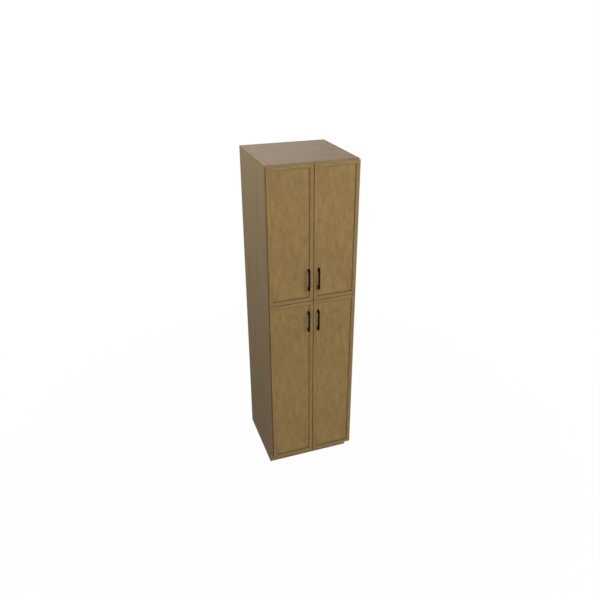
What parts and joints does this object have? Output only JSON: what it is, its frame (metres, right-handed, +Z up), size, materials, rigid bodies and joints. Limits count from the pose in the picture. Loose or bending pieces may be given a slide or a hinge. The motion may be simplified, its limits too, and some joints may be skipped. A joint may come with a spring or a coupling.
{
  "type": "broom cupboard",
  "caption": "Tall broom cupboard with a face frame, a recessed plinth, paired upper and lower slim-framed doors on concealed hinges and black bar pulls.",
  "frame": {"origin": "on the floor, at the centre of the footprint, pulls included", "axes": "+Z up, the doors face -Y, +X is to the right seen from the front"},
  "size_m": [0.6096, 0.6514, 2.286],
  "materials": {
    "door_and_frame_wood": "satin",
    "case_veneer": "satin",
    "interior_plywood": "satin",
    "black_pull": "satin",
    "hinge_nickel": "satin"
  },
  "bodies": {
    "case": {"left_side": "case_veneer", "right_side": "case_veneer", "top_panel": "case_veneer", "fixed_shelf": "interior_plywood", "bottom_panel": "interior_plywood", "back_panel": "interior_plywood", "hanging_rail": "interior_plywood", "toe_board": "case_veneer", "frame_left_stile": "door_and_frame_wood", "frame_right_stile": "door_and_frame_wood", "frame_top_rail": "door_and_frame_wood", "frame_middle_rail": "door_and_frame_wood", "frame_bottom_rail": "door_and_frame_wood", "adjustable_shelf": "interior_plywood", "shelf_cleat_left": "interior_plywood", "shelf_cleat_right": "interior_plywood", "upper_left_door_hinge_arm_1": "hinge_nickel", "upper_left_door_hinge_arm_2": "hinge_nickel", "upper_right_door_hinge_arm_1": "hinge_nickel", "upper_right_door_hinge_arm_2": "hinge_nickel", "lower_left_door_hinge_arm_1": "hinge_nickel", "lower_left_door_hinge_arm_2": "hinge_nickel", "lower_left_door_hinge_arm_3": "hinge_nickel", "lower_right_door_hinge_arm_1": "hinge_nickel", "lower_right_door_hinge_arm_2": "hinge_nickel", "lower_right_door_hinge_arm_3": "hinge_nickel"},
    "upper_left_door": {"upper_left_door_hinge_stile": "door_and_frame_wood", "upper_left_door_meeting_stile": "door_and_frame_wood", "upper_left_door_bottom_rail": "door_and_frame_wood", "upper_left_door_top_rail": "door_and_frame_wood", "upper_left_door_panel": "door_and_frame_wood", "upper_left_door_hinge_cup_1": "hinge_nickel", "upper_left_door_hinge_cup_2": "hinge_nickel", "upper_left_door_pull": "black_pull"},
    "upper_right_door": {"upper_right_door_hinge_stile": "door_and_frame_wood", "upper_right_door_meeting_stile": "door_and_frame_wood", "upper_right_door_bottom_rail": "door_and_frame_wood", "upper_right_door_top_rail": "door_and_frame_wood", "upper_right_door_panel": "door_and_frame_wood", "upper_right_door_hinge_cup_1": "hinge_nickel", "upper_right_door_hinge_cup_2": "hinge_nickel", "upper_right_door_pull": "black_pull"},
    "lower_left_door": {"lower_left_door_hinge_stile": "door_and_frame_wood", "lower_left_door_meeting_stile": "door_and_frame_wood", "lower_left_door_bottom_rail": "door_and_frame_wood", "lower_left_door_top_rail": "door_and_frame_wood", "lower_left_door_panel": "door_and_frame_wood", "lower_left_door_hinge_cup_1": "hinge_nickel", "lower_left_door_hinge_cup_2": "hinge_nickel", "lower_left_door_hinge_cup_3": "hinge_nickel", "lower_left_door_pull": "black_pull"},
    "lower_right_door": {"lower_right_door_hinge_stile": "door_and_frame_wood", "lower_right_door_meeting_stile": "door_and_frame_wood", "lower_right_door_bottom_rail": "door_and_frame_wood", "lower_right_door_top_rail": "door_and_frame_wood", "lower_right_door_panel": "door_and_frame_wood", "lower_right_door_hinge_cup_1": "hinge_nickel", "lower_right_door_hinge_cup_2": "hinge_nickel", "lower_right_door_hinge_cup_3": "hinge_nickel", "lower_right_door_pull": "black_pull"}
  },
  "joints": [
    {"name": "upper_left_door_hinge", "type": "hinge", "parent": "case", "child": "upper_left_door", "pos_m": [-0.2962, -0.29485, 1.824], "axis": [0, 0, -1], "range_deg": [0, 100]},
    {"name": "upper_right_door_hinge", "type": "hinge", "parent": "case", "child": "upper_right_door", "pos_m": [0.2962, -0.29485, 1.824], "axis": [0, 0, 1], "range_deg": [0, 100]},
    {"name": "lower_left_door_hinge", "type": "hinge", "parent": "case", "child": "lower_left_door", "pos_m": [-0.2962, -0.29485, 0.7342], "axis": [0, 0, -1], "range_deg": [0, 100]},
    {"name": "lower_right_door_hinge", "type": "hinge", "parent": "case", "child": "lower_right_door", "pos_m": [0.2962, -0.29485, 0.7342], "axis": [0, 0, 1], "range_deg": [0, 100]}
  ]
}
